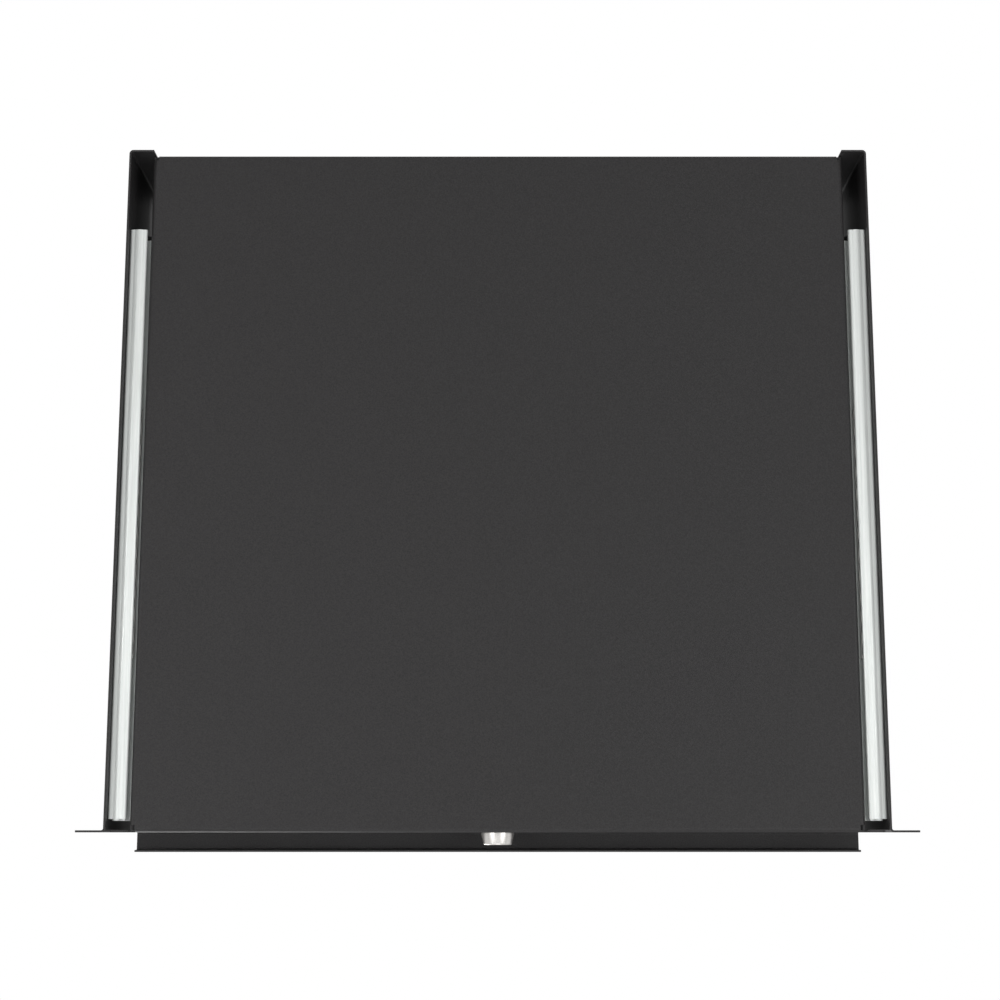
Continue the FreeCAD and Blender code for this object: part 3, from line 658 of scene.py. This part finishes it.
def thread(radius, depth, top, bottom, pitch):
    """Profile rings of a thread between two heights, and a chamfered end."""
    turns = max(1, round((top - bottom) / pitch))
    step = (top - bottom) / turns
    rings = []
    for turn in range(turns):
        rings.append((radius - depth, top - step * (turn + 0.25)))
        rings.append((radius, top - step * (turn + 0.75)))
    return rings + [(radius - depth, bottom)]


two_turns = thread(SCREW_RADIUS, THREAD_DEPTH, 0, -2 * THREAD_PITCH, THREAD_PITCH)
print("two turns of thread, in mm", [(round(r * 1000, 2), round(h * 1000, 2)) for r, h in two_turns])

# %% [markdown]
# ## Screws of the slides
#
# A head that stood out would catch the rail that runs past it, so the slides are held by
# countersunk screws. Those of the outer rails have their heads inwards, and those of the
# inner rails have them outwards. The CAD node says where each screw is and how long it is,
# and all screws of a node are one piece, because they are the same part many times.

# %% Slide screws
FLAT_HEAD_RADIUS = 0.0036
FLAT_HEAD_DEPTH = 0.0012
FLAT_HEAD_EDGE = 0.0001
FLAT_SQUARE = 0.00060
FLAT_RECESS = 0.0011


def flat_screw(length):
    """A countersunk screw of one length, its head flush."""
    head = [(FLAT_HEAD_RADIUS - FLAT_HEAD_EDGE, 0), (FLAT_HEAD_RADIUS, -FLAT_HEAD_EDGE),
            (SCREW_RADIUS, -FLAT_HEAD_DEPTH)]
    shank = thread(SCREW_RADIUS, THREAD_DEPTH, -FLAT_HEAD_DEPTH, -length, THREAD_PITCH)
    return cross_screw(FLAT_SQUARE, FLAT_RECESS, head + shank)


def slide_screws(node, body, head_faces_in):
    """All screws of a node: the left ones point one way, the right ones the other."""
    found = centres(node)
    places = []
    for middle, size in found:
        outwards = math.copysign(1.0, middle.x)
        facing = -outwards if head_faces_in else outwards
        top = middle.x + facing * size.x / 2
        places.append(pointing((top, middle.y, middle.z), (facing, 0, 0)))
    length = found[-1][1].x
    screws = copies(flat_screw(length), places)
    piece = piece_from(node + "_detailed", screws, zinc_screw, body)
    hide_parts(node)


slide_screws("outer_rail_screws", "frame", True)
slide_screws("inner_rail_screws", "drawer", False)

# %% [markdown]
# ## Screws of the strike bar and of the cam
#
# Where nothing slides past, a screw may have a domed pan head. The dome is a few rings whose
# radii and heights are shares of the head, so that one helper makes both sizes. The cam's
# screw is a head alone, as in the CAD model, because the plug would hide its shank.

# %% Strike bar screws and cam screw
DOME = ((0.62, 0.0), (0.80, 0.10), (0.93, 0.28), (1.0, 0.55), (1.0, 1.0))
PAN_RECESS = 0.6
BAR_HEAD_RADIUS = 0.004
BAR_HEAD_HEIGHT = 0.0024
BAR_SQUARE = 0.00062
CAM_HEAD_RADIUS = 0.0045
CAM_SQUARE = 0.00070


def pan_screw(radius, thickness, square, length):
    """A domed head with the recess, its seat at -thickness, and a threaded shank."""
    dome = [(radius * out, -thickness * down) for out, down in DOME]
    shank = [(SCREW_RADIUS, -thickness)]
    if length > thickness:
        shank += thread(SCREW_RADIUS, THREAD_DEPTH, -thickness, -length, THREAD_PITCH)
    return cross_screw(square, thickness * PAN_RECESS, dome + shank)


bar_screws_found = centres("strike_bar_screws")
places = []
for middle, size in bar_screws_found:
    facing = -math.copysign(1.0, middle.x)
    places.append(pointing((middle.x + facing * size.x / 2, middle.y, middle.z), (facing, 0, 0)))
length = bar_screws_found[-1][1].x
screws = copies(pan_screw(BAR_HEAD_RADIUS, BAR_HEAD_HEIGHT, BAR_SQUARE, length), places)
bar_screws = piece_from("strike_bar_screws_detailed", screws, zinc_screw, "frame")
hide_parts("strike_bar_screws")

low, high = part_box("lock_cam_screw")
middle = (low + high) / 2
height = high.y - low.y
screws = copies(pan_screw(CAM_HEAD_RADIUS, height, CAM_SQUARE, height),
                [pointing((middle.x, high.y, middle.z), (0, 1, 0))])
cam_screw = piece_from("lock_cam_screw_detailed", screws, zinc_screw, "lock_core")
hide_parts("lock_cam_screw")

# %% [markdown]
# ## Balls in their cages
#
# The CAD model has four balls in a row, which is enough to place the rails. A real slide
# has a row of a dozen, each in its own pocket of a pressed strip. One pocket is a square of
# sixteen corners bridged to a circle of sixteen, copied along the strip, and Solidify gives
# the strip its thickness. A Boolean for every pocket would be slower and leave slivers.

# %% Cages and balls
POCKETS = 12
BALL_RADIUS = 0.0016
POCKET_RADIUS = 0.00172
CAGE_THICKNESS = 0.0006
SQUARE_SIDE = 4
CELL_SEAM = 0.00001
ALL_SMOOTH = 180


def cage_pocket(low, high, middle_x, pitch):
    """One cell of a cage strip, with a round pocket at the origin."""
    mesh = bmesh.new()
    bmesh.ops.create_grid(mesh, x_segments=SQUARE_SIDE, y_segments=SQUARE_SIDE, size=0.5)
    inside = [corner for corner in mesh.verts if not corner.is_boundary]
    bmesh.ops.delete(mesh, geom=inside, context="VERTS")
    bmesh.ops.delete(mesh, geom=mesh.faces[:], context="FACES_ONLY")
    rim = list(mesh.edges)
    for corner in mesh.verts:
        corner.co.x = low + (corner.co.x + 0.5) * (high - low) - middle_x
        corner.co.y *= pitch
    circle = bmesh.ops.create_circle(mesh, segments=4 * SQUARE_SIDE, radius=POCKET_RADIUS)
    ring = list({edge for corner in circle["verts"] for edge in corner.link_edges})
    bmesh.ops.bridge_loops(mesh, edges=rim + ring)
    return mesh


def stage_of_balls(stage, body):
    """Both cages of a stage, with a ball in every pocket."""
    for side in ("left", "right"):
        node = stage + "_cage_" + side
        strips = centres(node)
        near = [item for item in centres(stage + "_balls") if item[0].x * strips[0][0].x > 0]
        across = near[0][0].x
        places = []
        for middle, size in strips:
            pitch = size.y / POCKETS
            for number in range(POCKETS):
                y = middle.y - size.y / 2 + pitch * (number + 0.5)
                places.append(Matrix.Translation((across, y, middle.z)))
        low = middle.x - size.x / 2
        high = middle.x + size.x / 2
        strip = copies(cage_pocket(low, high, across, pitch), places)
        bmesh.ops.remove_doubles(strip, verts=strip.verts, dist=CELL_SEAM)
        cage = piece_from(node + "_detailed", strip, cage_metal, body)
        cage.data.validate()
        plate = cage.modifiers.new("plate", "SOLIDIFY")
        plate.thickness = CAGE_THICKNESS
        plate.offset = 0.0
        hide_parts(node)
        ball = bmesh.new()
        bmesh.ops.create_icosphere(ball, subdivisions=2, radius=BALL_RADIUS)
        balls = copies(ball, places)
        piece_from(stage + "_balls_" + side, balls, ball_metal, body, ALL_SMOOTH)


stage_of_balls("outer", "outer_cages")
stage_of_balls("inner", "inner_cages")
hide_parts("outer_balls")
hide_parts("inner_balls")

# %% [markdown]
# ## Turned parts
#
# A turned part is the same all round, so half of its section says everything about it. Here
# the section is a line of (radius, height) corners, and the spin operator turns that line
# round the Z axis. A line beside the axis is closed and gives a ring with its bore, and one
# that starts and ends on the axis stays open and gives a solid part. A Screw modifier could
# turn it too, but a finished mesh can be cut and joined to others afterwards.

# %% Helpers for turned parts
SPUN_SEAM = 0.0000005


def spun(profile, steps):
    """A line of (radius, height) corners turned round the Z axis, closed if off the axis."""
    mesh = bmesh.new()
    corners = [mesh.verts.new((radius, 0, height)) for radius, height in profile]
    line = [mesh.edges.new(pair) for pair in zip(corners, corners[1:])]
    if profile[0][0] > 0:
        line.append(mesh.edges.new((corners[-1], corners[0])))
    bmesh.ops.spin(mesh, geom=corners + line, cent=(0, 0, 0), axis=(0, 0, 1),
                   angle=2 * math.pi, steps=steps, use_merge=True)
    bmesh.ops.remove_doubles(mesh, verts=mesh.verts, dist=SPUN_SEAM)
    bmesh.ops.recalc_face_normals(mesh, faces=mesh.faces)
    return mesh


def rim_arc(radius, height, curve, steps=5):
    """Corners of a quarter round from the side of a turned part to its end."""
    turns = [math.pi / 2 * step / steps for step in range(steps + 1)]
    return [(radius - curve + curve * math.cos(turn), height - curve + curve * math.sin(turn))
            for turn in turns]


def joined(meshes):
    """Several bmeshes as one."""
    whole = bmesh.new()
    for mesh in meshes:
        data = bpy.data.meshes.new("part")
        mesh.to_mesh(data)
        mesh.free()
        whole.from_mesh(data)
        bpy.data.meshes.remove(data)
    return whole


print("corners of a 1 mm round", [(round(r, 2), round(h, 2)) for r, h in rim_arc(1, 1, 1, 3)])

# %% [markdown]
# ## The body of the lock
#
# The lock has a tapered head, and behind the panel a threaded barrel with two flats that
# stop it from turning in its hole. Both are spun from their sections with the bore in them,
# so no Boolean is needed. The barrel's flats are two bisect_plane cuts, each closed by one
# face. Length, base and axis come from the CAD pieces, and the rest is named here.

# %% Lock body
PANEL_THICKNESS = 0.0012
BORE_RADIUS = 0.00608
HEAD_TIP_RADIUS = 0.0086
HEAD_RIM = 0.0009
HEAD_STRAIGHT = 0.0010
SUNK_RING = 0.0009
FINE_CHAMFER = 0.0002
BARREL_RADIUS = 0.008
BARREL_ACROSS_FLATS = 0.014
BARREL_THREAD_DEPTH = 0.00045
BARREL_THREAD_PITCH = 0.001
BARREL_CHAMFER_LENGTH = 0.0006
BARREL_CHAMFER = 0.0008
CAM_CLEARANCE = 0.00005
LOCK_STEPS = 72
CUT_SEAM = 0.0000001

low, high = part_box("lock_housing")
plug_low, plug_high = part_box("lock_plug")
axis_x = (plug_low.x + plug_high.x) / 2
axis_z = (plug_low.z + plug_high.z) / 2
face_y = -PANEL_THICKNESS
head_length = face_y - low.y
base_radius = high.x - axis_x
barrel_end = face_y - high.y + CAM_CLEARANCE

flank = [(BORE_RADIUS, 0), (base_radius - FINE_CHAMFER, 0), (base_radius, FINE_CHAMFER),
         (base_radius, HEAD_STRAIGHT)]
rim = rim_arc(HEAD_TIP_RADIUS, head_length, HEAD_RIM)
sunk_height = head_length - FINE_CHAMFER
ring = [(BORE_RADIUS + SUNK_RING, head_length),
        (BORE_RADIUS + SUNK_RING - FINE_CHAMFER, sunk_height), (BORE_RADIUS, sunk_height)]
head = spun(flank + rim + ring, LOCK_STEPS)

collar = [(BORE_RADIUS, FINE_CHAMFER), (BARREL_RADIUS, FINE_CHAMFER)]
threads = thread(BARREL_RADIUS, BARREL_THREAD_DEPTH, -PANEL_THICKNESS,
                 barrel_end + BARREL_CHAMFER_LENGTH, BARREL_THREAD_PITCH)
end = [(BARREL_RADIUS - BARREL_CHAMFER, barrel_end), (BORE_RADIUS, barrel_end)]
barrel = spun(collar + threads + end, LOCK_STEPS)

forwards = pointing((axis_x, face_y, axis_z), (0, -1, 0))
for part in (head, barrel):
    bmesh.ops.transform(part, matrix=forwards, verts=part.verts)
for side in (-1, 1):
    flat = bmesh.ops.bisect_plane(
        barrel, geom=barrel.verts[:] + barrel.edges[:] + barrel.faces[:], dist=CUT_SEAM,
        plane_co=(0, 0, axis_z + side * BARREL_ACROSS_FLATS / 2), plane_no=(0, 0, side),
        clear_outer=True)
    border = [item for item in flat["geom_cut"] if isinstance(item, bmesh.types.BMEdge)]
    bmesh.ops.contextual_create(barrel, geom=border)
lock_body = piece_from("lock_housing_detailed", joined([head, barrel]), nickel, "drawer",
                       30)
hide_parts("lock_housing")

# %% [markdown]
# ## Levers that release the drawer
#
# In the channel of each inner rail lies a moulded lever: pressing it lets the drawer off
# its rails. Its arm has a sunk panel, as thin mouldings have, and its thumb pad has ribs for
# grip. Both levers are built on the left, from discs that are spun and blocks that are inset
# and bevelled. The right one is then mirrored, and its normals are made right again
# afterwards, because mirroring turns a mesh inside out.

# %% Levers
LEVER_ROUND = 0.0003
ARM_HALF = 0.003
ARM_INTO_PAD = 0.7       # where the arm starts, as a share of the pad's radius
ARM_INTO_EYE = 0.6       # and where it ends, of the eye's radius
SUNK_BORDER = 0.0010
SUNK_SLOPE = 0.0002
SUNK_DEPTH = 0.0005
PIN_HOLE_RADIUS = 0.00158
DISC_STEPS = 40
RIB_COUNT = 5
RIB_PITCH = 0.0015
RIB_RISE = 0.0004
RIB_HALF = 0.0004
RIB_MARGIN = 0.0006
RIB_ROOT = 0.0002
RIB_ROUND = 0.0002


def slab(low, high, sunk=0.0, round_edges=LEVER_ROUND):
    """A block between two corners, its -X face sunk inside a border, its edges rounded."""
    mesh = bmesh.new()
    bmesh.ops.create_cube(mesh, size=1.0)
    bmesh.ops.scale(mesh, verts=mesh.verts, vec=high - low)
    bmesh.ops.translate(mesh, verts=mesh.verts, vec=(low + high) / 2)
    outer = list(mesh.edges)
    if sunk:
        face = min(mesh.faces, key=lambda item: item.calc_center_median().x)
        bmesh.ops.inset_region(mesh, faces=[face], thickness=SUNK_BORDER)
        bmesh.ops.inset_region(mesh, faces=[face], thickness=SUNK_SLOPE, depth=-sunk)
    bmesh.ops.bevel(mesh, geom=outer, offset=round_edges, segments=2, profile=0.5,
                    affect="EDGES", material=-1, clamp_overlap=True)
    return mesh


def disc(outer, inner, thickness):
    """A flat ring or disc with rounded rims, from height 0 to its thickness."""
    upper = rim_arc(outer, thickness, LEVER_ROUND, 3)
    lower = [(radius, thickness - height) for radius, height in reversed(upper)]
    return spun([(inner, 0)] + lower + upper + [(inner, thickness)], DISC_STEPS)


pins = centres("release_lever_pins")
for side, turned_over in (("left", 1), ("right", -1)):
    node = "release_lever_" + side
    low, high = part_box(node)
    pivot = min(pins, key=lambda item: (item[0].x - low.x) ** 2)[0]
    seat = max(abs(low.x), abs(high.x))
    face = min(abs(low.x), abs(high.x))
    thickness = seat - face
    pad_radius = (high.z - low.z) / 2
    pad_y = low.y + pad_radius
    eye_radius = high.y - pivot.y
    eye = disc(eye_radius, PIN_HOLE_RADIUS, thickness)
    pad = disc(pad_radius, 0, thickness)
    for part, y in ((eye, pivot.y), (pad, pad_y)):
        outwards = pointing((-face, y, pivot.z), (-1, 0, 0))
        bmesh.ops.transform(part, matrix=outwards, verts=part.verts)
    arm_low = Vector((-seat, pad_y + pad_radius * ARM_INTO_PAD, pivot.z - ARM_HALF))
    arm_high = Vector((-face, pivot.y - eye_radius * ARM_INTO_EYE, pivot.z + ARM_HALF))
    arm = slab(arm_low, arm_high, sunk=SUNK_DEPTH)
    ribs = []
    for number in range(RIB_COUNT):
        y = pad_y + (number - (RIB_COUNT - 1) / 2) * RIB_PITCH
        reach = math.sqrt(pad_radius ** 2 - (y - pad_y) ** 2) - RIB_MARGIN
        rib_low = Vector((-seat - RIB_RISE, y - RIB_HALF, pivot.z - reach))
        rib_high = Vector((-seat + RIB_ROOT, y + RIB_HALF, pivot.z + reach))
        ribs.append(slab(rib_low, rib_high, round_edges=RIB_ROUND))
    lever = joined([eye, pad, arm] + ribs)
    bmesh.ops.scale(lever, verts=lever.verts, vec=(turned_over, 1, 1))
    detailed = piece_from(node + "_detailed", lever, plastic, side + "_lever", 40)
    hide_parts(node)

# %% [markdown]
# ## Rivets
#
# Each lever turns on a rivet with a low domed head. Its section is half a dome and a shank,
# a line that starts and ends on the axis, so spinning it closes it without more work.

# %% Rivets
RIVET_HEAD_RADIUS = 0.0025
RIVET_RADIUS = 0.0015
RIVET_RISE = 0.0008
DOME_STEP = 0.35
DOME_POWER = 0.9
RIVET_STEPS = 32

places = []
for middle, size in pins:
    outwards = math.copysign(1.0, middle.x)
    top = middle.x + outwards * size.x / 2
    places.append(pointing((top, middle.y, middle.z), (outwards, 0, 0)))
length = pins[-1][1].x
turns = [DOME_STEP * step for step in range(1, 5)] + [math.pi / 2]
dome = [(RIVET_HEAD_RADIUS * math.sin(turn), -RIVET_RISE * (1 - math.cos(turn)) ** DOME_POWER)
        for turn in turns]
shank = [(RIVET_RADIUS, -RIVET_RISE), (RIVET_RADIUS, -length), (0, -length)]
rivet = spun([(0, 0)] + dome + shank, RIVET_STEPS)
rivets = piece_from("release_lever_rivets", copies(rivet, places), zinc_screw, "drawer")
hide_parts("release_lever_pins")
